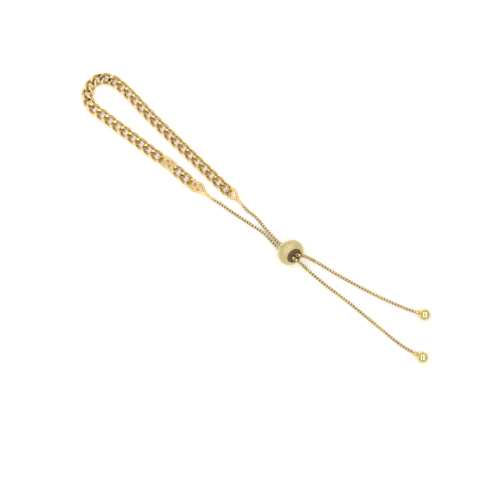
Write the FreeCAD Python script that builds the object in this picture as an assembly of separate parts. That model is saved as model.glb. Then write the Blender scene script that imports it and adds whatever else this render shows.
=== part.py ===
"""Bolo slider bracelet of gold-coloured brass, laid out flat as it rests on a table.

Millimetres. X runs along the laid bracelet from the bend of the curb chain to the end balls,
Y across it, Z up. The origin is on the table under the middle of the bracelet's box.
Every piece is a solid of its own, and soldered metal is one solid.
"""
import FreeCAD
import Part
import math
import os
from FreeCAD import Placement, Rotation, Vector

# The tables below are measured from a zero near the upper end loop. This is the middle of the box.
MIDDLE = (10.78, 1.28)

# Curb link: a squared oval of round wire, twisted about its length, then filed flat
LINK_HALF_LENGTH = 1.92
LINK_HALF_WIDTH = 1.29
LINK_TWIST = 50.0
LINK_SQUARENESS = 0.80
LINK_WIRE = 0.425
LINK_HALF_HEIGHT = 0.78
LINK_SECTIONS = 24
LINK_SIDES = 8

# Flat oval links and the tear-shaped end loops
OVAL_HALF_LENGTH = 1.90
OVAL_HALF_WIDTH = 1.36
OVAL_END_RADIUS = 1.05
LOOP_RADIUS = 1.40
LOOP_NECK = 2.50
FINE_WIRE = 0.37
STEM_WIDE = 0.475
STEM_THIN = 0.40

# Main curb chain: links in a row that share one turn (degrees a link) and one pitch
COURSE_START = (-1.72, 1.29)
COURSE_HEADING = 172.8
COURSE = (
    dict(links=9, turn=0.0, pitch=2.82),
    dict(links=4, turn=-1.0, pitch=2.82),
    dict(links=2, turn=3.0, pitch=2.80),
    dict(links=1, turn=8.0, pitch=2.70),
    dict(links=1, turn=25.0, pitch=2.62),
    dict(links=4, turn=31.0, pitch=2.61),
    dict(links=1, turn=28.0, pitch=2.72),
    dict(links=8, turn=0.0, pitch=2.84),
)

# Loose links and end loops: centre, heading, then roll and pitch on the table
RESTING = (
    dict(name="oval_link_1", form="oval", x=-20.64, y=-2.83, heading=1.0, roll=25.0, pitch=-4.0),
    dict(name="oval_link_2", form="oval", x=-18.42, y=-2.73, heading=-9.0, roll=-25.0, pitch=2.0),
    dict(name="extension_link_1", form="curb", x=-15.62, y=-3.01, heading=-6.0, roll=1.0, pitch=1.0),
    dict(name="extension_link_2", form="curb", x=-12.75, y=-3.22, heading=-6.0, roll=-1.0, pitch=-2.0),
    dict(name="oval_link_3", form="oval", x=-9.95, y=-3.43, heading=-8.0, roll=26.0, pitch=1.0),
    dict(name="end_loop_lower", form="loop", x=-8.34, y=-3.03, heading=-5.0, roll=-27.0, pitch=-1.0,
         stem=2.05),
    dict(name="end_loop_upper", form="loop", x=0.40, y=1.32, heading=-10.0, roll=27.0, pitch=0.0,
         stem=1.40),
)

# Slider: a hollow rondelle round a silicone core, its axis raised 45 degrees
SLIDER_X = 24.42
SLIDER_Y = -2.38
SLIDER_Z = 3.345
SLIDER_HEADING = -11.4
SLIDER_RAISE = 45.0
SHELL_RING = 1.90
SHELL_ROUND = 2.00
SHELL_WALL = 0.30
SHELL_BORE = 2.20
CORE_GAP = 0.08
CORE_FACE = 1.88
CORE_ROUND = 0.12
HOLE_OFFSET = 0.62
HOLE_RADIUS = 0.53

# Box chain, end caps and end balls
CHAIN_RADIUS = 0.45
BALL_RADIUS = 1.77
BALL_SOCKET = 0.48
BALL_SOCKET_FLOOR = 1.15
CAP_SLOPE = 20.0
CAP_PEG = 0.41
CAP_PEG_START = 1.25
CAP_START = 1.79
CAP_END = 2.80
CAP_RADIUS = 0.62
CAP_ROUND = 0.14
CHAIN_START = 2.97

UPPER_BALL = (66.12, 6.41)
UPPER_TAIL_HEADING = 18.7
LOWER_BALL = (72.88, -3.82)
LOWER_TAIL_HEADING = 8.5

# Bends of the two box chains: x, y, z on the table, and forward, side, z about the slider
UPPER_LOOP_SIDE = (
    (4.44, 0.60, 0.98),
    (6.50, -0.05, 0.45),
    (8.90, 0.08, 0.45),
    (11.00, -0.15, 0.45),
    (13.10, -0.80, 0.45),
    (15.00, -1.15, 0.45),
    (17.20, -1.60, 0.45),
    (19.20, -2.05, 0.45),
)
UPPER_AT_SLIDER = (
    (-3.40, -0.45, 0.45),
    (-2.00, 0.62, 1.34),
    (1.70, 0.62, 5.04),
    (2.55, 1.38, 5.10),
    (3.50, 2.30, 3.85),
    (6.20, 3.60, 0.45),
)
UPPER_TAIL = (
    (33.90, 0.20, 0.45),
    (38.20, 0.60, 0.45),
    (43.00, 1.22, 0.45),
    (47.90, 1.92, 0.45),
    (52.80, 2.80, 0.45),
    (57.60, 3.90, 0.45),
    (61.50, 4.85, 0.45),
)
LOWER_LOOP_SIDE = (
    (-3.58, -3.41, 1.05),
    (-1.40, -3.10, 0.45),
    (1.80, -3.05, 0.45),
    (6.00, -2.85, 0.45),
    (10.90, -2.60, 0.45),
    (14.60, -2.30, 0.45),
    (16.60, -2.66, 0.45),
    (18.90, -3.10, 0.45),
)
LOWER_AT_SLIDER = (
    (-3.30, -1.65, 0.45),
    (-2.00, -0.62, 1.34),
    (1.70, -0.62, 5.04),
    (2.85, -0.36, 5.10),
    (3.60, 0.00, 3.95),
    (6.10, 0.35, 0.45),
)
LOWER_TAIL = (
    (33.60, -3.55, 0.45),
    (38.40, -3.78, 0.45),
    (43.60, -3.76, 0.45),
    (48.80, -3.88, 0.45),
    (54.00, -4.18, 0.45),
    (59.20, -4.40, 0.45),
    (64.20, -4.70, 0.45),
    (67.80, -4.58, 0.45),
)
CORNER_SHARE = 0.45

UP = Vector(0, 0, 1)


def on_table(x, y, z=0.0):
    """A point of the tables, measured from the middle of the box."""
    return Vector(x - MIDDLE[0], y - MIDDLE[1], z)


def signed_power(value, power):
    return math.copysign(abs(value) ** power, value)


def curb_centre_line(share):
    """Point on the link's wire and the wire's thickness direction, share 0 to 1 of the way round."""
    c = signed_power(math.cos(2 * math.pi * share), LINK_SQUARENESS)
    s = signed_power(math.sin(2 * math.pi * share), LINK_SQUARENESS)
    twist = -math.radians(LINK_TWIST) * c
    point = Vector(LINK_HALF_LENGTH * c, LINK_HALF_WIDTH * s * math.cos(twist),
                   LINK_HALF_WIDTH * s * math.sin(twist))
    return point, Vector(0, -math.sin(twist), math.cos(twist))


def even_shares(curve, count, samples=1440):
    """Shares of a closed curve that lie evenly spaced along it, the first half a step in."""
    points = [curve(i / samples)[0] for i in range(samples + 1)]
    travelled = [0.0]
    for a, b in zip(points, points[1:]):
        travelled.append(travelled[-1] + a.distanceToPoint(b))
    shares = []
    at = 0
    for k in range(count):
        wanted = travelled[-1] * (k + 0.5) / count
        while travelled[at + 1] < wanted:
            at += 1
        part = (wanted - travelled[at]) / (travelled[at + 1] - travelled[at])
        shares.append((at + part) / samples)
    return shares


def faceted_ring(curve, sections, sides, radius):
    """Closed tube of flat triangles round a closed curve."""
    rings = []
    for share in even_shares(curve, sections):
        point, thickness = curve(share)
        along = curve((share + 0.002) % 1.0)[0] - curve((share - 0.002) % 1.0)[0]
        along.normalize()
        outward = along.cross(thickness).normalize()
        across = outward.cross(along)
        ring = []
        for j in range(sides):
            angle = 2 * math.pi * (j + 0.5) / sides
            ring.append(point + outward * (radius * math.cos(angle)) + across * (radius * math.sin(angle)))
        rings.append(ring)
    faces = []
    for i in range(sections):
        here = rings[i]
        after = rings[(i + 1) % sections]
        for j in range(sides):
            k = (j + 1) % sides
            for corners in ((here[j], here[k], after[k]), (here[j], after[k], after[j])):
                faces.append(Part.Face(Part.makePolygon([*corners, corners[0]])))
    shell = Part.makeShell(faces)
    shell.sewShape()
    solid = Part.makeSolid(shell)
    if solid.Volume < 0:
        solid.reverse()
    return solid


def curb_link():
    """Twisted link with both broad sides filed flat."""
    wire = faceted_ring(curb_centre_line, LINK_SECTIONS, LINK_SIDES, LINK_WIRE)
    reach = 2 * LINK_HALF_LENGTH
    for level in (LINK_HALF_HEIGHT, -LINK_HALF_HEIGHT - reach):
        filed = Part.makeBox(2 * reach, 2 * reach, reach, Vector(-reach, -reach, level))
        wire = wire.cut(filed)
    return wire.removeSplitter().Solids[0]


def ring_of_pieces(edges, radius):
    """Closed wire, one revolved or drawn piece for each arc or line, joined into one solid."""
    pieces = []
    for edge in edges:
        start = edge.valueAt(edge.FirstParameter)
        along = edge.tangentAt(edge.FirstParameter)
        disc = Part.Face(Part.Wire([Part.makeCircle(radius, start, along)]))
        if isinstance(edge.Curve, Part.Circle):
            sweep = math.degrees(edge.LastParameter - edge.FirstParameter)
            pieces.append(disc.revolve(edge.Curve.Center, edge.Curve.Axis, sweep))
        else:
            pieces.append(disc.extrude(edge.valueAt(edge.LastParameter) - start))
    return pieces[0].multiFuse(pieces[1:]).removeSplitter().Solids[0]


def oval_link():
    """Flat oval of four tangent arcs."""
    end = OVAL_END_RADIUS
    end_x = OVAL_HALF_LENGTH - end
    # The side arc's centre lies on the Y axis, below the link's middle for the upper side
    side = (end_x ** 2 + OVAL_HALF_WIDTH ** 2 - end ** 2) / (2 * (OVAL_HALF_WIDTH - end))
    side_y = side - OVAL_HALF_WIDTH
    lean = math.atan2(side_y, end_x)
    edges = []
    for quarter in range(2):
        turn = math.pi * quarter
        away = -1 if quarter else 1
        ends = Part.Circle(Vector(away * end_x, 0, 0), UP, end)
        edges.append(Part.ArcOfCircle(ends, turn - lean, turn + lean).toShape())
        sides = Part.Circle(Vector(0, -away * side_y, 0), UP, side)
        edges.append(Part.ArcOfCircle(sides, turn + lean, turn + math.pi - lean).toShape())
    return ring_of_pieces(edges, FINE_WIRE)


def end_loop(stem):
    """Tear-shaped loop whose sides meet in a soldered stem."""
    lean = math.acos(LOOP_RADIUS / LOOP_NECK)
    round_end = Part.Circle(Vector(0, 0, 0), UP, LOOP_RADIUS)
    arc = Part.ArcOfCircle(round_end, lean, 2 * math.pi - lean).toShape()
    neck = Vector(LOOP_NECK, 0, 0)
    upper = Part.LineSegment(neck, arc.valueAt(arc.FirstParameter)).toShape()
    lower = Part.LineSegment(arc.valueAt(arc.LastParameter), neck).toShape()
    pieces = []
    for edge in (upper, arc, lower):
        start = edge.valueAt(edge.FirstParameter)
        disc = Part.Face(Part.Wire([Part.makeCircle(FINE_WIRE, start, edge.tangentAt(edge.FirstParameter))]))
        if edge is arc:
            pieces.append(disc.revolve(Vector(0, 0, 0), UP, math.degrees(2 * (math.pi - lean))))
        else:
            pieces.append(disc.extrude(edge.valueAt(edge.LastParameter) - start))
    root = neck - Vector(STEM_WIDE, 0, 0)
    pieces.append(Part.makeCone(STEM_WIDE, STEM_THIN, stem + STEM_WIDE, root, Vector(1, 0, 0)))
    return pieces[0].multiFuse(pieces[1:]).removeSplitter().Solids[0]


def turned(shape, heading, roll=0.0, pitch=0.0):
    """A copy of the shape rolled, pitched and headed about its own origin."""
    copy = shape.copy()
    copy.rotate(Vector(0, 0, 0), Vector(1, 0, 0), roll)
    copy.rotate(Vector(0, 0, 0), Vector(0, 1, 0), pitch)
    copy.rotate(Vector(0, 0, 0), Vector(0, 0, 1), heading)
    return copy


def lowest(shape):
    return shape.optimalBoundingBox(False, False).ZMin


def curb_places():
    """Centre and heading of every link of the main chain, from the upper loop round the bend."""
    x, y = COURSE_START
    heading = COURSE_HEADING
    places = [(x, y, heading)]
    for row in COURSE:
        for _ in range(row["links"]):
            middle = math.radians(heading + row["turn"] / 2)
            x += row["pitch"] * math.cos(middle)
            y += row["pitch"] * math.sin(middle)
            heading += row["turn"]
            places.append((x, y, heading))
    return places


def slider_place(shape):
    """Stands a shape turned about Z onto the raised axis of the slider."""
    copy = shape.copy()
    copy.rotate(Vector(0, 0, 0), Vector(0, 1, 0), 90 - SLIDER_RAISE)
    copy.rotate(Vector(0, 0, 0), Vector(0, 0, 1), SLIDER_HEADING)
    copy.translate(on_table(SLIDER_X, SLIDER_Y, SLIDER_Z))
    return copy


def revolved(points_and_arcs):
    """Solid of revolution about Z from edges in the XZ plane, X outward."""
    return Part.Face(Part.Wire(points_and_arcs)).revolve(Vector(0, 0, 0), UP, 360)


def outward(radius, height):
    return Vector(radius, 0, height)


def round_profile(ring, radius, bore):
    """Half-round bulge of a radius about the ring, from the bore below to the bore above."""
    height = math.sqrt(radius ** 2 - (bore - ring) ** 2)
    low = outward(bore, -height)
    high = outward(bore, height)
    return low, Part.Arc(low, outward(ring + radius, 0), high).toShape(), high


def slider_shell():
    """Hollow rondelle: a rounded skin open to the bore."""
    low, skin, high = round_profile(SHELL_RING, SHELL_ROUND, SHELL_BORE)
    inner_low, lining, inner_high = round_profile(SHELL_RING, SHELL_ROUND - SHELL_WALL, SHELL_BORE)
    lip_high = Part.makeLine(high, inner_high)
    lip_low = Part.makeLine(inner_low, low)
    return revolved([skin, lip_high, lining, lip_low])


def slider_core():
    """Silicone filling with a short neck at each face and two holes for the chains."""
    neck = SHELL_BORE - CORE_GAP
    low, bulge, high = round_profile(SHELL_RING, SHELL_ROUND - SHELL_WALL - CORE_GAP, neck)
    flat = neck - CORE_ROUND
    shoulder = CORE_FACE - CORE_ROUND
    bend = CORE_ROUND * (1 - math.sqrt(0.5))
    edges = [
        bulge,
        Part.makeLine(high, outward(neck, shoulder)),
        Part.Arc(outward(neck, shoulder), outward(neck - bend, CORE_FACE - bend),
                 outward(flat, CORE_FACE)).toShape(),
        Part.makeLine(outward(flat, CORE_FACE), outward(0, CORE_FACE)),
        Part.makeLine(outward(0, CORE_FACE), outward(0, -CORE_FACE)),
        Part.makeLine(outward(0, -CORE_FACE), outward(flat, -CORE_FACE)),
        Part.Arc(outward(flat, -CORE_FACE), outward(neck - bend, bend - CORE_FACE),
                 outward(neck, -shoulder)).toShape(),
        Part.makeLine(outward(neck, -shoulder), low),
    ]
    core = revolved(edges)
    for side in (-HOLE_OFFSET, HOLE_OFFSET):
        core = core.cut(Part.makeCylinder(HOLE_RADIUS, 4 * CORE_FACE, Vector(0, side, -2 * CORE_FACE)))
    return core.Solids[0]


def at_slider(forward, side, z):
    """A point given forward of and beside the slider's middle, at a height above the table."""
    turn = math.radians(SLIDER_HEADING)
    return on_table(SLIDER_X + forward * math.cos(turn) - side * math.sin(turn),
                    SLIDER_Y + forward * math.sin(turn) + side * math.cos(turn), z)


def tail_place(ball, heading):
    """Middle of an end ball and the direction from it back along its chain."""
    turn = math.radians(heading)
    drop = math.radians(CAP_SLOPE)
    back = Vector(-math.cos(turn) * math.cos(drop), -math.sin(turn) * math.cos(drop), -math.sin(drop))
    return on_table(*ball, BALL_RADIUS), back


def end_ball(ball, heading):
    middle, back = tail_place(ball, heading)
    sphere = Part.makeSphere(BALL_RADIUS, middle)
    socket = Part.makeCylinder(BALL_SOCKET, BALL_RADIUS, middle + back * BALL_SOCKET_FLOOR, back)
    return sphere.cut(socket).Solids[0]


def end_cap(ball, heading):
    """Collar between the chain and the ball, with a peg that stands in the ball's socket."""
    bend = CAP_ROUND * (1 - math.sqrt(0.5))
    rim = CAP_RADIUS - CAP_ROUND
    edges = [
        Part.makeLine(outward(0, CAP_PEG_START), outward(CAP_PEG, CAP_PEG_START)),
        Part.makeLine(outward(CAP_PEG, CAP_PEG_START), outward(CAP_PEG, CAP_START)),
        Part.makeLine(outward(CAP_PEG, CAP_START), outward(CAP_RADIUS, CAP_START)),
        Part.makeLine(outward(CAP_RADIUS, CAP_START), outward(CAP_RADIUS, CAP_END - CAP_ROUND)),
        Part.Arc(outward(CAP_RADIUS, CAP_END - CAP_ROUND), outward(CAP_RADIUS - bend, CAP_END - bend),
                 outward(rim, CAP_END)).toShape(),
        Part.makeLine(outward(rim, CAP_END), outward(0, CAP_END)),
        Part.makeLine(outward(0, CAP_END), outward(0, CAP_PEG_START)),
    ]
    middle, back = tail_place(ball, heading)
    cap = revolved(edges)
    cap.Placement = Placement(middle, Rotation(UP, back))
    return cap


def box_chain(name, loop_side, slider_bends, tail, ball, heading):
    """Round stand-in of a box chain: straight runs joined by tangent arcs."""
    middle, back = tail_place(ball, heading)
    points = [on_table(*p) for p in loop_side]
    points += [at_slider(*p) for p in slider_bends]
    points += [on_table(*p) for p in tail]
    points.append(middle + back * CHAIN_START)
    edges = []
    radii = []
    last = points[0]
    for before, corner, after in zip(points, points[1:], points[2:]):
        to_before = before - corner
        to_after = after - corner
        reach = CORNER_SHARE * min(to_before.Length, to_after.Length)
        turn = math.pi - to_before.getAngle(to_after)
        to_before.normalize()
        to_after.normalize()
        radius = reach / math.tan(turn / 2)
        radii.append(radius)
        start = corner + to_before * reach
        end = corner + to_after * reach
        inward = (to_before + to_after).normalize()
        centre = corner + inward * (radius / math.cos(turn / 2))
        edges.append(Part.LineSegment(last, start).toShape())
        edges.append(Part.Arc(start, centre - inward * radius, end).toShape())
        last = end
    edges.append(Part.LineSegment(last, points[-1]).toShape())
    spine = Part.Wire(edges)
    profile = Part.Wire([Part.makeCircle(CHAIN_RADIUS, points[0], points[1] - points[0])])
    tube = spine.makePipeShell([profile], True, False)
    section = math.pi * CHAIN_RADIUS ** 2
    print(name, "length %.1f" % spine.Length, "volume ratio %.4f" % (tube.Volume / (section * spine.Length)),
          "radii", " ".join("%.1f" % r for r in radii))
    return tube


def pieces():
    """Every piece by its name."""
    made = {}
    forms = {"curb": curb_link(), "oval": oval_link()}
    for number, (x, y, heading) in enumerate(curb_places(), 1):
        link = turned(forms["curb"], heading)
        link.translate(on_table(x, y, LINK_HALF_HEIGHT))
        made["curb_link_%02d" % number] = link
    for row in RESTING:
        form = end_loop(row["stem"]) if row["form"] == "loop" else forms[row["form"]]
        link = turned(form, row["heading"], row["roll"], row["pitch"])
        link.translate(on_table(row["x"], row["y"], -lowest(link)))
        made[row["name"]] = link
    made["slider_shell"] = slider_place(slider_shell())
    made["slider_core"] = slider_place(slider_core())
    sides = (
        ("upper", UPPER_LOOP_SIDE, UPPER_AT_SLIDER, UPPER_TAIL, UPPER_BALL, UPPER_TAIL_HEADING),
        ("lower", LOWER_LOOP_SIDE, LOWER_AT_SLIDER, LOWER_TAIL, LOWER_BALL, LOWER_TAIL_HEADING),
    )
    for side, loop_side, slider_bends, tail, ball, heading in sides:
        name = "box_chain_" + side
        made[name] = box_chain(name, loop_side, slider_bends, tail, ball, heading)
        made["end_cap_" + side] = end_cap(ball, heading)
        made["end_ball_" + side] = end_ball(ball, heading)
    return made


def main():
    os.makedirs("parts", exist_ok=True)
    made = pieces()
    box = FreeCAD.BoundBox()
    for name, shape in made.items():
        if not shape.isValid() or len(shape.Solids) != 1:
            raise SystemExit(name + " is not one valid solid")
        shape.exportStep("parts/" + name + ".step")
        box.add(shape.optimalBoundingBox(False, False))
    volume = sum(shape.Volume for shape in made.values())
    print(len(made), "pieces, volume %.1f mm3" % volume)
    print("box X %.3f %.3f Y %.3f %.3f Z %.3f %.3f"
          % (box.XMin, box.XMax, box.YMin, box.YMax, box.ZMin, box.ZMax))


main()
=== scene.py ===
"""A bolo slider bracelet dressed in Blender, written as a lesson in cells."""
# %% [markdown]
# # A bolo slider bracelet
# The bracelet is a flat curb chain with a short extension, closed by two fine box chains that
# run through a rounded slider and end in small balls. The CAD model gives every piece its size
# and place. This lesson builds the same pieces again with smooth wire, turned rounds and real
# square links, and gives them gold and silicone.

# %% Frame and tools
import math
import bmesh
import bpy
from mathutils import Matrix, Vector


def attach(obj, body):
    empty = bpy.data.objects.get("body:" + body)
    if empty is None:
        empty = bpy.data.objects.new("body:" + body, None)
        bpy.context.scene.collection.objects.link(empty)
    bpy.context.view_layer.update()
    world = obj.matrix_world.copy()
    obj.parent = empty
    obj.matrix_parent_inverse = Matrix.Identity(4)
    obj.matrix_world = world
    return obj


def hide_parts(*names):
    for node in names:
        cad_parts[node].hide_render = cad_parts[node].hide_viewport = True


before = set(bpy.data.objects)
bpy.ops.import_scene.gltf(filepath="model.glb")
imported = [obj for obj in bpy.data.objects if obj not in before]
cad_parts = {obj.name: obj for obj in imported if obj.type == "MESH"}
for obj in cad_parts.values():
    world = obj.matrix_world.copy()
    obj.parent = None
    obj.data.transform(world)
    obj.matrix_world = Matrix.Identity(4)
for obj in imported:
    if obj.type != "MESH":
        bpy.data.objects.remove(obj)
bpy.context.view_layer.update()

# %% [markdown]
# ## Working in millimetres
# Jewellery is thought of in millimetres and Blender's frame is in metres. Each mesh is shaped
# in millimetres, moved to its place on the table, and scaled down once at the end, so that its
# object stays at the origin, unturned and unscaled. The places further down are measured from
# a zero near the upper end loop, and MIDDLE is the middle of the laid bracelet's box.

# %% Units and places
MM = 0.001
MIDDLE = (10.78, 1.28)
AXIS_Y, AXIS_Z = Vector((0, 1, 0)), Vector((0, 0, 1))


def on_table(x, y, z=0.0):
    return Vector((x - MIDDLE[0], y - MIDDLE[1], z))


def turn(degrees, axis):
    return Matrix.Rotation(math.radians(degrees), 4, axis)


def turned(heading, roll=0.0, pitch=0.0):
    """Roll about X first, then pitch about Y, then head about Z."""
    return turn(heading, "Z") @ turn(pitch, "Y") @ turn(roll, "X")


print("table zero in the frame:", tuple(on_table(0, 0)))

# %% [markdown]
# ## From a bmesh to a piece
# Every piece ends in the same way. Its mesh is scaled and placed, its faces are shaded smooth
# except across real edges, and the CAD node it stands for is hidden. An edge counts as real
# when its faces meet at more than SHARP_ANGLE degrees.

# %% Finishing a piece
SHARP_ANGLE = 40.0


def finish_piece(bm, name, place, material, node):
    """Turns a bmesh in millimetres into a smooth piece that stands for a CAD node."""
    bmesh.ops.transform(bm, matrix=Matrix.Scale(MM, 4) @ place, verts=bm.verts)
    mesh = bpy.data.meshes.new(name)
    bm.to_mesh(mesh)
    bm.free()
    mesh.shade_smooth()
    mesh.set_sharp_from_angle(angle=math.radians(SHARP_ANGLE))
    mesh.materials.append(material)
    piece = bpy.data.objects.new(name, mesh)
    bpy.context.scene.collection.objects.link(piece)
    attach(piece, "root")
    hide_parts(node)
    return piece


def edges_of(faces):
    """The edges of some faces, each once and always in the same order."""
    return list(dict.fromkeys(edge for face in faces for edge in face.edges))


# %% [markdown]
# ## Writing shader maths as Python
# A material's nodes are easier to read as sums. The class below wraps one output socket, and
# its operators add Math nodes. Every other node comes from one method, which sets the node's
# own settings first and then its sockets, by link where the value is another signal.

# %% Shader sums
# The Mix node has one set of sockets for each kind of value, and these are its colour ones.
MIX_COLOUR_A, MIX_COLOUR_B, MIX_COLOUR_OUT = 6, 7, 2


class Signal:
    """One output socket of a material's node tree."""

    def __init__(self, socket):
        self.socket = socket

    def into(self, target):
        self.socket.id_data.links.new(self.socket, target)

    def node(self, kind, output, sockets, **settings):
        """Adds a node to the same tree and gives the signal of one of its outputs."""
        made = self.socket.id_data.nodes.new(kind)
        for key, value in settings.items():
            setattr(made, key, value)
        for key, value in sockets.items():
            if isinstance(value, Signal):
                value.into(made.inputs[key])
            else:
                made.inputs[key].default_value = value
        return Signal(made.outputs[output])

    def sum_with(self, operation, first, second, clamp=False):
        return self.node("ShaderNodeMath", "Value", {0: first, 1: second}, operation=operation,
                         use_clamp=clamp)

    def __add__(self, other):
        return self.sum_with("ADD", self, other)

    __radd__ = __add__

    def __mul__(self, other):
        return self.sum_with("MULTIPLY", self, other)

    __rmul__ = __mul__

    def __sub__(self, other):
        return self.sum_with("SUBTRACT", self, other)

    def __rsub__(self, other):
        return self.sum_with("SUBTRACT", other, self)

    def clamped(self):
        """The same signal, kept between 0 and 1."""
        return self.sum_with("ADD", self, 0.0, clamp=True)

    def noise(self, scale, detail=3.0):
        return self.node("ShaderNodeTexNoise", "Fac", {"Vector": self, "Scale": scale, "Detail": detail})

    def bump(self, height, strength, distance):
        return self.node("ShaderNodeBump", "Normal",
                         {"Height": height, "Strength": strength, "Distance": distance})

    def mix(self, low, high):
        """A colour that goes from low to high as this signal goes from 0 to 1."""
        low, high = (end if isinstance(end, Signal) else (*end, 1.0) for end in (low, high))
        return self.node("ShaderNodeMix", MIX_COLOUR_OUT, {0: self, MIX_COLOUR_A: low, MIX_COLOUR_B: high},
                         data_type="RGBA")


def new_material(name):
    """A material, its surface shader, and a signal of the object's own coordinates."""
    material = bpy.data.materials.new(name)
    material.use_nodes = True
    nodes = material.node_tree.nodes
    return material, nodes["Principled BSDF"], Signal(nodes.new("ShaderNodeTexCoord").outputs["Object"])


# %% [markdown]
# ## Gold
# Plated brass is a metal: its colour sits in the reflections. No surface is one flat colour,
# so a soft cloud changes the tint a little, a finer one makes some places duller, and the same
# fine one gives the polish its slight waviness. Inside a link the light that gets in bounces
# from gold to gold until only a deep brown is left. A renderer with few bounces misses that, so
# the meshes mark such faces with a number, and the metal takes a darker tint there: painted
# shade. Two places on the bend of the curb chain are painted almost black, as painted
# reflections of the dark gap overhead. A distance from each of them does that, with no picture.

# %% Gold finishes
GRAIN_DEPTH = 0.02 * MM
# Height and reach of the painted dark reflections on the curb chain's bend.
DARK_REFLECTION_HEIGHT = 0.8
DARK_REFLECTION_REACH = 1.1


def gold(name, pale, deep, roughness, dull, cloud, waviness, inside_shade=None, painted_dark_reflections=()):
    """Metal between two tints, with clouds of a given number to the metre."""
    material, surface, place = new_material(name)
    fine = place.noise(cloud * 6, detail=5.0)
    tint = place.noise(cloud).mix(deep, pale)
    # Painted shade: faces marked as lying inside a link take a darker tint, standing in for light that only
    # reaches them after many bounces.
    if inside_shade:
        mark = place.node("ShaderNodeAttribute", "Fac", {}, attribute_name="inside_shade")
        tint = mark.mix(tint, inside_shade)
    # Painted reflections: near-black spots on the bend, where flats would mirror the dark gap overhead.
    for x, y, colour in painted_dark_reflections:
        spot = (x * MM, y * MM, DARK_REFLECTION_HEIGHT * MM)
        away = place.node("ShaderNodeVectorMath", "Value", {0: place, 1: spot}, operation="DISTANCE")
        tint = (2.0 - away * (2.0 / (DARK_REFLECTION_REACH * MM))).clamped().mix(tint, colour)
    tint.into(surface.inputs["Base Color"])
    (fine * dull + roughness).into(surface.inputs["Roughness"])
    surface.inputs["Metallic"].default_value = 1.0
    place.bump(fine, waviness, GRAIN_DEPTH).into(surface.inputs["Normal"])
    return material


# Curb links: painted shade inside each link, and two painted dark reflections on the bend.
link_gold = gold("link_gold", (0.88, 0.70, 0.32), (0.80, 0.51, 0.16), 0.15, 0.12, 500.0, 0.10,
                 inside_shade=(0.24, 0.11, 0.025),
                 painted_dark_reflections=((-61.56, 5.02, (0.05, 0.04, 0.01)), (-58.65, 4.79, (0.07, 0.045, 0.01))))
# Box links: near-black painted shade on the linings, and part of it on the folds and strip edges.
box_gold = gold("box_chain_gold", (0.87, 0.75, 0.40), (0.83, 0.56, 0.23), 0.34, 0.12, 250.0, 0.10,
                inside_shade=(0.07, 0.04, 0.015))
cap_gold = gold("cap_gold", (0.92, 0.62, 0.22), (0.84, 0.50, 0.15), 0.18, 0.12, 1500.0, 0.10)
bead_gold = gold("polished_gold", (0.72, 0.63, 0.34), (0.67, 0.57, 0.27), 0.48, 0.10, 350.0, 0.04)
ball_gold = gold("ball_gold", (0.78, 0.69, 0.36), (0.72, 0.61, 0.28), 0.10, 0.08, 350.0, 0.04)
print("gold finishes:", ", ".join(m.name for m in (link_gold, box_gold, cap_gold, bead_gold, ball_gold)))

# %% [markdown]
# ## Silicone
# The slider's core is a taupe rubber plug with a matt skin that has a fine grain. Its CAD solid
# already has the right shape, a plug with two straight holes, so it only gets a finish.

# %% Silicone finish
def rubber(name, dark, light):
    material, surface, place = new_material(name)
    grain = place.noise(6000.0, detail=4.0)
    place.noise(700.0).mix(dark, light).into(surface.inputs["Base Color"])
    (grain * 0.2 + 0.42).into(surface.inputs["Roughness"])
    place.bump(grain, 0.25, GRAIN_DEPTH).into(surface.inputs["Normal"])
    return material


silicone = rubber("silicone", (0.12, 0.062, 0.03), (0.19, 0.105, 0.055))
slider_core = bpy.data.objects["slider_core"]
slider_core.data.materials.clear()
slider_core.data.materials.append(silicone)
print("slider core:", len(slider_core.data.polygons), "faces")

# %% [markdown]
# ## Round wire along a curve
# A link is wire bent round and soldered shut. It could be a curve with a bevel, but a mesh can
# be filed flat afterwards. A circle is extruded from one place on the curve to the next, and
# the last ring is welded to the first. The places are spread evenly along the wire's length,
# because the formulas below run faster through some parts of the link than through others.

# %% Wire
CURVE_SAMPLES = 1440
TANGENT_STEP = 0.002
WELD = 0.001
WIRE_SIDES = 16


def even_shares(curve, count):
    """Shares of a closed curve that lie evenly spaced along it."""
    points = [curve(number / CURVE_SAMPLES)[0] for number in range(CURVE_SAMPLES + 1)]
    travelled = [0.0]
    for here, after in zip(points, points[1:]):
        travelled.append(travelled[-1] + (after - here).length)
    shares = []
    at = 0
    for number in range(count):
        wanted = travelled[-1] * number / count
        while travelled[at + 1] < wanted:
            at += 1
        shares.append((at + (wanted - travelled[at]) / (travelled[at + 1] - travelled[at])) / CURVE_SAMPLES)
    return shares


def ring_place(curve, share):
    """Stand of the wire's circle: its normal along the wire, its X outward."""
    point, thickness = curve(share)
    ahead, behind = curve((share + TANGENT_STEP) % 1.0)[0], curve((share - TANGENT_STEP) % 1.0)[0]
    along = (ahead - behind).normalized()
    outward = along.cross(thickness).normalized()
    across = outward.cross(along)
    return Matrix.Translation(point) @ Matrix((outward, across, along)).transposed().to_4x4()


def wire_ring(curve, radius, sections):
    """Closed round wire along a closed curve."""
    bm = bmesh.new()
    places = [ring_place(curve, share) for share in even_shares(curve, sections)]
    places.append(places[0])
    bmesh.ops.create_circle(bm, segments=WIRE_SIDES, radius=radius)
    bmesh.ops.transform(bm, matrix=places[0], verts=bm.verts)
    rim = list(bm.edges)
    for here, after in zip(places, places[1:]):
        grown = bmesh.ops.extrude_edge_only(bm, edges=rim)["geom"]
        moved = [item for item in grown if isinstance(item, bmesh.types.BMVert)]
        rim = [item for item in grown if isinstance(item, bmesh.types.BMEdge)
               and item.verts[0] in moved and item.verts[1] in moved]
        bmesh.ops.transform(bm, matrix=after @ here.inverted(), verts=moved)
    bmesh.ops.remove_doubles(bm, verts=bm.verts, dist=WELD)
    bmesh.ops.recalc_face_normals(bm, faces=bm.faces)
    return bm


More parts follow.
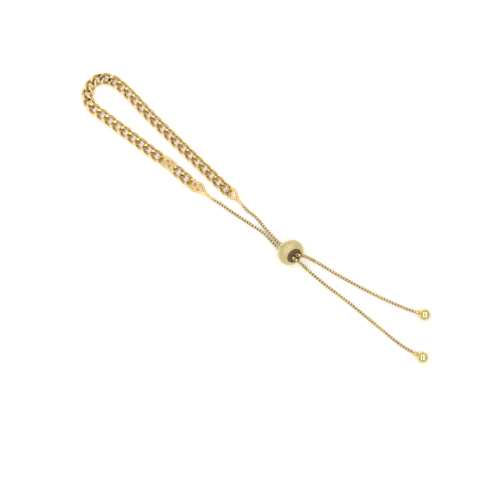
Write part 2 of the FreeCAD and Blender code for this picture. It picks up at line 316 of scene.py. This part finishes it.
# %% [markdown]
# ## Curb link
# A curb link starts as a squared oval, is twisted about its length so that it lies flat with
# its neighbours, and is then filed on both broad sides. The file leaves bright flats with a
# slightly rounded rim, and those flats carry most of the chain's sparkle. The wire is made
# first, two planes cut it, the cuts are closed, and a small bevel breaks their edge. At the
# end each face is marked with how far it looks back at the middle of its own link.

# %% Curb link
LINK_HALF_LENGTH = 1.92
LINK_HALF_WIDTH = 1.29
LINK_TWIST = 50.0
LINK_SQUARENESS = 0.80
LINK_WIRE = 0.425
LINK_SECTIONS = 56
LINK_HALF_HEIGHT = 0.78
FILED_EDGE = 0.035


def squared_circle(share, squareness):
    """A point on a circle whose sides bulge: 1 is round, less is squarer."""
    angle = 2 * math.pi * share
    return [math.copysign(abs(value) ** squareness, value) for value in (math.cos(angle), math.sin(angle))]


def curb_centre_line(share):
    """Point on the link's wire and the wire's thickness direction."""
    c, s = squared_circle(share, LINK_SQUARENESS)
    twist = -math.radians(LINK_TWIST) * c
    point = Vector((LINK_HALF_LENGTH * c, LINK_HALF_WIDTH * s * math.cos(twist),
                    LINK_HALF_WIDTH * s * math.sin(twist)))
    return point, Vector((0, -math.sin(twist), math.cos(twist)))


def file_flat(bm, height):
    """Cuts away what stands above a height, on both broad sides, and closes the cuts."""
    for side in (1, -1):
        cut = bmesh.ops.bisect_plane(bm, geom=[*bm.verts, *bm.edges, *bm.faces], dist=1e-5,
                                     plane_co=(0, 0, side * height), plane_no=(0, 0, side), clear_outer=True)
        slivers = [item for item in cut["geom_cut"] if isinstance(item, bmesh.types.BMEdge)]
        bmesh.ops.dissolve_degenerate(bm, dist=0.01, edges=slivers)
        rim = [edge for edge in bm.edges if edge.is_boundary]
        flats = bmesh.ops.holes_fill(bm, edges=rim, sides=0)["faces"]
        bmesh.ops.bevel(bm, geom=edges_of(flats), offset=FILED_EDGE, segments=2, profile=0.5,
                        affect="EDGES", material=-1)


def mark_inside_shade(bm, spine):
    """Marks how far each face looks back at the straight spine of its link, which sets its painted shade."""
    inside_shade = bm.faces.layers.float.new("inside_shade")
    for face in bm.faces:
        centre = face.calc_center_median()
        nearest = Vector((max(-spine, min(spine, centre.x)), 0, 0))
        face[inside_shade] = max(0.0, -face.normal.dot((centre - nearest).normalized()))


curb_form = wire_ring(curb_centre_line, LINK_WIRE, LINK_SECTIONS)
file_flat(curb_form, LINK_HALF_HEIGHT)
# Faces that look back into the link take painted shade in its crevices.
mark_inside_shade(curb_form, LINK_HALF_LENGTH - LINK_HALF_WIDTH)
print("curb link:", len(curb_form.faces), "faces")

# %% [markdown]
# ## The row of curb links
# Every link is the same. The main chain is walked from the upper end loop: a link goes down,
# the heading turns by half of the row's turn, one pitch is stepped, and the heading turns by
# the other half. The bend at the wrist's far side has the largest turns and the least pitch.

# %% Main chain
COURSE_START = (-1.72, 1.29)
COURSE_HEADING = 172.8
COURSE = (
    dict(links=9, turn=0.0, pitch=2.82),
    dict(links=4, turn=-1.0, pitch=2.82),
    dict(links=2, turn=3.0, pitch=2.80),
    dict(links=1, turn=8.0, pitch=2.70),
    dict(links=1, turn=25.0, pitch=2.62),
    dict(links=4, turn=31.0, pitch=2.61),
    dict(links=1, turn=28.0, pitch=2.72),
    dict(links=8, turn=0.0, pitch=2.84),
)


def lay_link(form, name, place):
    finish_piece(form.copy(), name + "_wire", place, link_gold, name)


x, y = COURSE_START
heading = COURSE_HEADING
places = [(x, y, heading)]
for row in COURSE:
    for _ in range(row["links"]):
        middle = math.radians(heading + row["turn"] / 2)
        x += row["pitch"] * math.cos(middle)
        y += row["pitch"] * math.sin(middle)
        heading += row["turn"]
        places.append((x, y, heading))
for number, (x, y, heading) in enumerate(places, 1):
    lay_link(curb_form, "curb_link_%02d" % number,
             Matrix.Translation(on_table(x, y, LINK_HALF_HEIGHT)) @ turned(heading))
print("main chain:", len(places), "links")

# %% [markdown]
# ## Oval links and end loops
# Three plain oval links join the main chain, the two links of the extension and the lower end
# loop. The end loops are tear-shaped wire whose two sides run into a soldered stem that holds
# the first box link. They lie tilted against each other, as linked rings do on a table, so
# each one is tilted first and then lowered until its lowest point touches.

# %% Shapes of the oval link and the end loop
OVAL_HALF_LENGTH = 1.90
OVAL_HALF_WIDTH = 1.36
OVAL_SQUARENESS = 0.95
OVAL_SECTIONS = 56
LOOP_RADIUS = 1.40
LOOP_NECK = 2.50
LOOP_SECTIONS = 64
FINE_WIRE = 0.37
STEM_WIDE = 0.475
STEM_THIN = 0.40
STEM_SIDES = 32
STEM_EDGE = 0.12


def oval_centre_line(share):
    c, s = squared_circle(share, OVAL_SQUARENESS)
    return Vector((OVAL_HALF_LENGTH * c, OVAL_HALF_WIDTH * s, 0)), AXIS_Z


def tear_centre_line(share):
    """Round end away from the neck, straight sides that meet there."""
    lean = math.acos(LOOP_RADIUS / LOOP_NECK)
    straight = math.sqrt(LOOP_NECK ** 2 - LOOP_RADIUS ** 2)
    arc = LOOP_RADIUS * 2 * (math.pi - lean)
    walked = share * (2 * straight + arc)
    touch = Vector((LOOP_RADIUS * math.cos(lean), LOOP_RADIUS * math.sin(lean), 0))
    neck = Vector((LOOP_NECK, 0, 0))
    if walked < straight:
        return neck.lerp(touch, walked / straight), AXIS_Z
    if walked < straight + arc:
        angle = lean + (walked - straight) / LOOP_RADIUS
        return Vector((LOOP_RADIUS * math.cos(angle), LOOP_RADIUS * math.sin(angle), 0)), AXIS_Z
    touch.y = -touch.y
    return touch.lerp(neck, (walked - straight - arc) / straight), AXIS_Z


def end_loop(stem):
    """Tear-shaped wire with a stem that runs on from its neck."""
    bm = wire_ring(tear_centre_line, FINE_WIRE, LOOP_SECTIONS)
    length = stem + STEM_WIDE
    middle = LOOP_NECK - STEM_WIDE + length / 2
    cone = bmesh.ops.create_cone(bm, cap_ends=True, segments=STEM_SIDES, radius1=STEM_WIDE,
                                 radius2=STEM_THIN, depth=length)["verts"]
    rims = [edge for edge in dict.fromkeys(edge for vert in cone for edge in vert.link_edges)
            if abs(edge.verts[0].co.z - edge.verts[1].co.z) < WELD]
    lying = Matrix.Translation((middle, 0, 0)) @ turn(90, "Y")
    bmesh.ops.transform(bm, matrix=lying, verts=cone)
    bmesh.ops.bevel(bm, geom=rims, offset=STEM_EDGE, segments=3, profile=0.5, affect="EDGES", material=-1)
    return bm


forms = {
    "oval": wire_ring(oval_centre_line, FINE_WIRE, OVAL_SECTIONS),
    "curb": curb_form,
    "upper loop": end_loop(1.40),
    "lower loop": end_loop(2.05),
}
print("link forms:", {name: len(form.faces) for name, form in forms.items()})

# %% Laying the oval links and end loops
RESTING = (
    dict(name="oval_link_1", form="oval", x=-20.64, y=-2.83, heading=1.0, roll=25.0, pitch=-4.0),
    dict(name="oval_link_2", form="oval", x=-18.42, y=-2.73, heading=-9.0, roll=-25.0, pitch=2.0),
    dict(name="extension_link_1", form="curb", x=-15.62, y=-3.01, heading=-6.0, roll=1.0, pitch=1.0),
    dict(name="extension_link_2", form="curb", x=-12.75, y=-3.22, heading=-6.0, roll=-1.0, pitch=-2.0),
    dict(name="oval_link_3", form="oval", x=-9.95, y=-3.43, heading=-8.0, roll=26.0, pitch=1.0),
    dict(name="end_loop_lower", form="lower loop", x=-8.34, y=-3.03, heading=-5.0, roll=-27.0, pitch=-1.0),
    dict(name="end_loop_upper", form="upper loop", x=0.40, y=1.32, heading=-10.0, roll=27.0, pitch=0.0),
)
for row in RESTING:
    form = forms[row["form"]]
    tilt = turned(row["heading"], row["roll"], row["pitch"])
    lowest = min((tilt @ vert.co).z for vert in form.verts)
    lay_link(form, row["name"], Matrix.Translation(on_table(row["x"], row["y"], -lowest)) @ tilt)
    print("%s rests %.2f mm above the table by its middle" % (row["name"], -lowest))

# %% [markdown]
# ## Turned rounds
# The slider's shell, the end balls and their caps are turned parts. Each is drawn as a half
# profile in the XZ plane and spun about Z. Arcs of the profile are themselves the spin of one
# vertex about the middle of the arc.

# %% Turning
def arc_from(bm, start, centre, degrees, steps):
    """Adds an arc to the profile, from a vertex about a centre in the XZ plane."""
    grown = bmesh.ops.spin(bm, geom=[start], cent=centre, axis=AXIS_Y, angle=math.radians(degrees),
                           steps=steps)
    return next(item for item in grown["geom_last"] if isinstance(item, bmesh.types.BMVert))


def line_to(bm, start, point):
    """Adds a straight line to the profile."""
    end = bm.verts.new(point)
    bm.edges.new((start, end))
    return end


def turn_profile(bm, steps):
    """Spins the finished profile full circle and closes its seam and poles."""
    bmesh.ops.spin(bm, geom=[*bm.verts, *bm.edges], axis=AXIS_Z, angle=2 * math.pi, steps=steps,
                   use_merge=True)
    bmesh.ops.remove_doubles(bm, verts=bm.verts, dist=WELD / 10)
    bmesh.ops.recalc_face_normals(bm, faces=bm.faces)


def corners(bm):
    """The edges where two faces meet at a clear corner."""
    return [edge for edge in bm.edges if edge.calc_face_angle(0) > math.radians(50)]


# %% [markdown]
# ## Slider shell
# The slider is a rondelle: a rounded ring of thin metal, open at the bore where the silicone
# shows. Its lip is rolled over, and a bevel along both corners of the mouth makes that roll.
# The profile is the outer skin and the lining, two arcs about the middle of the ring's wall,
# and it lies half raised on the table, leaning on the core and the chains.

# %% Slider shell
SLIDER_X, SLIDER_Y, SLIDER_Z = 24.42, -2.38, 3.345
SLIDER_HEADING = -11.4
SLIDER_RAISE = 45.0
SHELL_RING = 1.90
SHELL_ROUND = 2.00
SHELL_WALL = 0.30
SHELL_BORE = 2.20
SHELL_LIP = 0.13
LINING_ROUND = SHELL_ROUND - SHELL_WALL


def mouth_lean(radius):
    """Degrees from the ring's axis at which an arc of the wall meets the bore."""
    return math.degrees(math.asin((SHELL_BORE - SHELL_RING) / radius))


def mouth_height(radius):
    return math.sqrt(radius ** 2 - (SHELL_BORE - SHELL_RING) ** 2)


bm = bmesh.new()
ring = Vector((SHELL_RING, 0, 0))
first = bm.verts.new((SHELL_BORE, 0, -mouth_height(SHELL_ROUND)))
skin_end = arc_from(bm, first, ring, -(180 - 2 * mouth_lean(SHELL_ROUND)), 48)
inner = line_to(bm, skin_end, (SHELL_BORE, 0, mouth_height(LINING_ROUND)))
lining_end = arc_from(bm, inner, ring, 180 - 2 * mouth_lean(LINING_ROUND), 24)
bm.edges.new((lining_end, first))
turn_profile(bm, 128)
bmesh.ops.bevel(bm, geom=corners(bm), offset=SHELL_LIP, segments=4, profile=0.5, affect="EDGES", material=-1)
slider_stand = (Matrix.Translation(on_table(SLIDER_X, SLIDER_Y, SLIDER_Z))
                @ turned(SLIDER_HEADING, pitch=90 - SLIDER_RAISE))
print("slider shell:", len(bm.faces), "faces, %.2f mm across" % (2 * (SHELL_RING + SHELL_ROUND)))
finish_piece(bm, "slider_shell_turned", slider_stand, bead_gold, "slider_shell")

# %% [markdown]
# ## End balls and caps
# A ball on each tail keeps the slider from running off. The cap is a small collar with a peg
# that stands in the ball's socket. The ball rests on the table, and its cap slopes down to the
# chain.

# %% End balls and caps
BALL_RADIUS = 1.77
BALL_SOCKET = 0.48
BALL_SOCKET_FLOOR = 1.15
BALL_SOCKET_EDGE = 0.05
CAP_SLOPE = 20.0
CAP_PEG = 0.41
CAP_PEG_START = 1.25
CAP_START = 1.79
CAP_END = 2.80
CAP_RADIUS = 0.62
CAP_EDGE = 0.14
TAILS = {
    "upper": dict(ball=(66.12, 6.41), heading=18.7),
    "lower": dict(ball=(72.88, -3.82), heading=8.5),
}


def tail_stand(side):
    """Stand at the ball's middle whose Z points back along the chain."""
    tail = TAILS[side]
    middle = on_table(*tail["ball"], BALL_RADIUS)
    return Matrix.Translation(middle) @ turned(tail["heading"] + 180, pitch=90 + CAP_SLOPE)


def end_ball():
    bm = bmesh.new()
    mouth = math.degrees(math.asin(BALL_SOCKET / BALL_RADIUS))
    far = bm.verts.new((0, 0, -BALL_RADIUS))
    rim = arc_from(bm, far, (0, 0, 0), -(180 - mouth), 40)
    floor = line_to(bm, rim, (BALL_SOCKET, 0, BALL_SOCKET_FLOOR))
    line_to(bm, floor, (0, 0, BALL_SOCKET_FLOOR))
    turn_profile(bm, 80)
    mouth_edges = [edge for edge in corners(bm) if edge.verts[0].co.z > BALL_SOCKET_FLOOR + BALL_SOCKET_EDGE]
    bmesh.ops.bevel(bm, geom=mouth_edges, offset=BALL_SOCKET_EDGE, segments=2, profile=0.5,
                    affect="EDGES", material=-1)
    return bm


def end_cap():
    bm = bmesh.new()
    at = bm.verts.new((0, 0, CAP_PEG_START))
    for across, height in ((CAP_PEG, CAP_PEG_START), (CAP_PEG, CAP_START), (CAP_RADIUS, CAP_START),
                           (CAP_RADIUS, CAP_END), (0, CAP_END)):
        at = line_to(bm, at, (across, 0, height))
    turn_profile(bm, 48)
    rims = [edge for edge in corners(bm) if edge.verts[0].co.xy.length > (CAP_PEG + CAP_RADIUS) / 2]
    bmesh.ops.bevel(bm, geom=rims, offset=CAP_EDGE, segments=4, profile=0.5, affect="EDGES", material=-1)
    return bm


for side in TAILS:
    ball, cap = end_ball(), end_cap()
    print(side, "tail:", len(ball.faces), "faces in the ball,", len(cap.faces), "in the cap")
    finish_piece(ball, "end_ball_%s_turned" % side, tail_stand(side), ball_gold,
                 "end_ball_" + side)
    finish_piece(cap, "end_cap_%s_turned" % side, tail_stand(side), cap_gold, "end_cap_" + side)

# %% [markdown]
# ## Box link
# A box chain is made of small square links, each a flat strip bent into a square. One link is
# a cube with its two open sides inset, cut away and bridged, and a bevel folds its corners.
# The link is less than a millimetre long, so from where it is seen the folds and the cut edges
# of the strip only read as darker lines between bright squares. They get a share of a painted
# shade for that, and the lining gets all of it, painted near black.

# %% Box link
BOX_LENGTH = 0.84
BOX_WIDTH = 0.85
BOX_STRIP = 0.46
BOX_WALL = 0.18
BOX_FOLD = 0.15
BOX_FOLD_SHADE = 0.9
BOX_EDGE_SHADE = 0.25


def box_link():
    """A square ring of flat strip, open along Z, with folded corners."""
    bm = bmesh.new()
    inside_shade = bm.faces.layers.float.new("inside_shade")
    bmesh.ops.create_cube(bm, size=1.0)
    bmesh.ops.scale(bm, vec=(BOX_LENGTH, BOX_WIDTH, BOX_STRIP), verts=bm.verts)
    corner_edges = [edge for edge in bm.edges if abs(edge.verts[0].co.z - edge.verts[1].co.z) > BOX_STRIP / 2]
    folds = bmesh.ops.bevel(bm, geom=corner_edges, offset=BOX_FOLD, segments=1, profile=0.5, affect="EDGES",
                            material=-1)["faces"]
    # Painted shade: the folds and the strip's cut edges take part of the dark tint.
    for face in folds:
        face[inside_shade] = BOX_FOLD_SHADE
    open_sides = [face for face in bm.faces if abs(face.normal.z) > 0.5]
    for face in bmesh.ops.inset_individual(bm, faces=open_sides, thickness=BOX_WALL)["faces"]:
        face[inside_shade] = BOX_EDGE_SHADE
    rims = edges_of(open_sides)
    bmesh.ops.delete(bm, geom=open_sides, context="FACES_ONLY")
    lining = bmesh.ops.bridge_loops(bm, edges=rims)["faces"]
    bmesh.ops.recalc_face_normals(bm, faces=bm.faces)
    # Painted shade: the lining takes the full near-black tint.
    for face in lining:
        face[inside_shade] = 1.0
    return bm


box_form = box_link()
print("box link:", len(box_form.faces), "faces")

# %% [markdown]
# ## The way of the box chains
# A limp chain lies in soft bends. A few points carry each bend, some measured on
# the table and some from the slider's middle, because the chains have to run through its core.
# A point without a height lies on the table. One smooth spline through them gives the line,
# which is read back as even points, and the last point is the mouth of the end cap.

# %% Box chain routes
CHAIN_HEIGHT = 0.45
CHAIN_START = 2.97
UPPER_ROUTE = (
    ("table", (4.44, 0.60, 0.98), (6.50, -0.05), (8.90, 0.08), (11.00, -0.15), (13.10, -0.80),
     (15.00, -1.15), (17.20, -1.60), (19.20, -2.05)),
    ("slider", (-3.40, -0.45), (-2.00, 0.62, 1.34), (-1.10, 0.62, 2.24), (0.90, 0.62, 4.24),
     (1.70, 0.62, 5.04), (2.55, 1.38, 5.10), (3.50, 2.30, 3.85), (6.20, 3.60)),
    ("table", (33.90, 0.20), (38.20, 0.60), (43.00, 1.22), (47.90, 1.92), (52.80, 2.80),
     (57.60, 3.90), (61.50, 4.85)),
)
LOWER_ROUTE = (
    ("table", (-3.58, -3.41, 1.05), (-1.40, -3.10), (1.80, -3.05), (6.00, -2.85), (10.90, -2.60),
     (14.60, -2.30), (16.60, -2.66), (18.90, -3.10)),
    ("slider", (-3.30, -1.65), (-2.00, -0.62, 1.34), (-1.10, -0.62, 2.24), (0.90, -0.62, 4.24),
     (1.70, -0.62, 5.04), (2.85, -0.36, 5.10), (3.60, 0.00, 3.95), (6.10, 0.35)),
    ("table", (33.60, -3.55), (38.40, -3.78), (43.60, -3.76), (48.80, -3.88), (54.00, -4.18),
     (59.20, -4.40), (64.20, -4.70), (67.80, -4.58)),
)


def route_points(route, side):
    """The route's points in the frame, up to the mouth of the tail's cap."""
    slider = Matrix.Translation(on_table(SLIDER_X, SLIDER_Y)) @ turned(SLIDER_HEADING)
    points = []
    for measured_from, *spots in route:
        for x, y, z in ((*spot, CHAIN_HEIGHT)[:3] for spot in spots):
            points.append(on_table(x, y, z) if measured_from == "table" else slider @ Vector((x, y, z)))
    return [*points, tail_stand(side) @ Vector((0, 0, CHAIN_START))]


def smooth_line(points):
    """Even points read from one smooth spline that has the route's points as its controls."""
    curve = bpy.data.curves.new("route", "CURVE")
    curve.dimensions = "3D"
    curve.resolution_u = 24
    spline = curve.splines.new("NURBS")
    spline.points.add(len(points) - 1)
    for control, point in zip(spline.points, points):
        control.co = (*point, 1.0)
    spline.order_u = 3
    spline.use_endpoint_u = True
    holder = bpy.data.objects.new("route", curve)
    mesh = bpy.data.meshes.new_from_object(holder)
    line = [vert.co.copy() for vert in mesh.vertices]
    bpy.data.objects.remove(holder)
    bpy.data.curves.remove(curve)
    bpy.data.meshes.remove(mesh)
    return line


lines = {
    "upper": smooth_line(route_points(UPPER_ROUTE, "upper")),
    "lower": smooth_line(route_points(LOWER_ROUTE, "lower")),
}
print("points on the chains' lines:", {side: len(line) for side, line in lines.items()})

# %% [markdown]
# ## Box chain
# Every link stands at a right angle to the one before, so that the chain reads as a row of
# boxes. The links are set along the line at one pitch, and a slow roll to and fro keeps the
# chain from looking like a ruler. All links of a chain become one mesh, copied from the one
# link above, which keeps a chain of some hundred and fifty links light.

# %% Box chain
BOX_PITCH = 0.44
BOX_ROLL = 6.0
BOX_ROLL_STEPS = 31


def stations(line, pitch, margin):
    """Points and directions along a line, about one pitch apart, with a margin at both ends."""
    total = sum((after - here).length for here, after in zip(line, line[1:]))
    count = round((total - 2 * margin) / pitch)
    step = (total - 2 * margin) / count
    wanted = margin
    walked = 0.0
    found = []
    for here, after in zip(line, line[1:]):
        length = (after - here).length
        while wanted <= walked + length + 1e-6 and len(found) <= count:
            found.append((here.lerp(after, (wanted - walked) / length), (after - here).normalized()))
            wanted += step
        walked += length
    print("line %.1f mm, %d links, pitch %.3f mm" % (total, len(found), step))
    return found


def box_chain(name, line):
    """One mesh of square links, each turned a quarter from the one before."""
    link = bpy.data.meshes.new("box_link")
    box_form.to_mesh(link)
    bm = bmesh.new()
    for number, (point, along) in enumerate(stations(line, BOX_PITCH, BOX_LENGTH / 2)):
        beside = AXIS_Z.cross(along).normalized()
        above = along.cross(beside)
        roll = 90 * (number % 2) + BOX_ROLL * math.sin(2 * math.pi * number / BOX_ROLL_STEPS)
        stand = (Matrix.Translation(point) @ Matrix((along, beside, above)).transposed().to_4x4()
                 @ turn(roll, "X"))
        before = len(bm.verts)
        bm.from_mesh(link)
        bm.verts.ensure_lookup_table()
        bmesh.ops.transform(bm, matrix=stand, verts=bm.verts[before:])
    bpy.data.meshes.remove(link)
    return finish_piece(bm, name + "_links", Matrix.Identity(4), box_gold, name)


for side, line in lines.items():
    box_chain("box_chain_" + side, line)

# %% [markdown]
# ## Table
# Jewellery is photographed on bright white, with hardly a shadow. A plain sheet takes the light
# as paper does, and a faint glow of its own lifts it to white between the links, as light that
# comes through a lit table would.

# %% Table
TABLE_HALF_WIDTH = 0.8
TABLE_ROUGHNESS = 0.7
TABLE_GLOW = 0.21

floor_mesh = bpy.data.meshes.new("table_top")
bm = bmesh.new()
bmesh.ops.create_grid(bm, x_segments=1, y_segments=1, size=TABLE_HALF_WIDTH)
bm.to_mesh(floor_mesh)
bm.free()
floor = bpy.data.objects.new("table_top", floor_mesh)
bpy.context.scene.collection.objects.link(floor)
floor_paint, surface, place = new_material("table_paint")
surface.inputs["Roughness"].default_value = TABLE_ROUGHNESS
surface.inputs["Emission Color"].default_value = (1.0, 0.94, 0.85, 1.0)
surface.inputs["Emission Strength"].default_value = TABLE_GLOW
place.noise(30.0).mix((0.90, 0.90, 0.90), (0.93, 0.93, 0.93)).into(surface.inputs["Base Color"])
floor_mesh.materials.append(floor_paint)
print("table: %.1f m across" % (2 * TABLE_HALF_WIDTH))

# %% [markdown]
# ## Camera
# The bracelet is seen from almost straight above, turned on the table. The camera stands well
# back with a long lens, so that near and far pieces keep the same scale, and its width at the
# table fixes how large the bracelet appears.

# %% Camera
CAMERA_TURN = 36.75
CAMERA_ELEVATION = 86.0
CAMERA_DISTANCE = 0.60
FRAME_WIDTH = 0.1392
SENSOR_WIDTH = 36.0
LOOK_AT = Vector((-0.42, -9.34, 0.0)) * MM

camera_data = bpy.data.cameras.new("camera")
camera = bpy.data.objects.new("camera", camera_data)
bpy.context.scene.collection.objects.link(camera)
camera.matrix_world = (Matrix.Translation(LOOK_AT) @ turned(CAMERA_TURN, roll=90 - CAMERA_ELEVATION)
                       @ Matrix.Translation((0, 0, CAMERA_DISTANCE)))
camera_data.sensor_width = SENSOR_WIDTH
camera_data.lens = SENSOR_WIDTH * CAMERA_DISTANCE / FRAME_WIDTH
camera_data.clip_start = 0.01
bpy.context.scene.camera = camera
print("lens: %.0f mm" % camera_data.lens)

# %% [markdown]
# ## Light
# Polished metal shows its surroundings, so the light is mostly a picture for it to mirror. Two
# long soft panels hang side by side overhead with a dark gap between them, and a ball mirrors
# them as two bright strokes with a thin line in the middle. Round them the sky is a pale tent
# that falls off to dark overhead, which draws the dark outline round the wire of each link.

# %% Panels
SLIT_HALF_WIDTH = 0.08
PANEL_HEIGHT = 0.50
PANEL_WIDTH = 0.30
PANEL_LENGTH = 1.2
PANEL_POWER = 1.8


def soft_panel(name, place):
    """A long area light that shines down its own Z."""
    data = bpy.data.lights.new(name, "AREA")
    data.shape = "RECTANGLE"
    data.size = PANEL_WIDTH
    data.size_y = PANEL_LENGTH
    data.energy = PANEL_POWER
    lamp = bpy.data.objects.new(name, data)
    bpy.context.scene.collection.objects.link(lamp)
    lamp.matrix_world = place


for name, side in (("panel_left", -1), ("panel_right", 1)):
    beside = side * (SLIT_HALF_WIDTH + PANEL_WIDTH / 2)
    soft_panel(name, turned(CAMERA_TURN) @ Matrix.Translation((beside, 0, PANEL_HEIGHT)))
print("dark gap between the panels: %.0f mm" % (2 * SLIT_HALF_WIDTH / MM))

# %% Tent
TENT_LIGHT = 0.68
DARK_LIGHT = 0.20
DARK_FROM = 0.72
DARK_STEP = 12.0

world = bpy.data.worlds.new("studio")
bpy.context.scene.world = world
world.use_nodes = True
background = world.node_tree.nodes["Background"]
background.inputs["Color"].default_value = (1.0, 0.98, 0.95, 1.0)
sky = Signal(world.node_tree.nodes.new("ShaderNodeTexCoord").outputs["Generated"])
height = sky.node("ShaderNodeSeparateXYZ", "Z", {"Vector": sky})
overhead = ((height - DARK_FROM) * DARK_STEP).clamped()
(TENT_LIGHT - overhead * (TENT_LIGHT - DARK_LIGHT)).into(background.inputs["Strength"])
bpy.context.scene.view_settings.view_transform = "Standard"
print("tent: dark within %.0f degrees of straight up" % math.degrees(math.acos(DARK_FROM)))
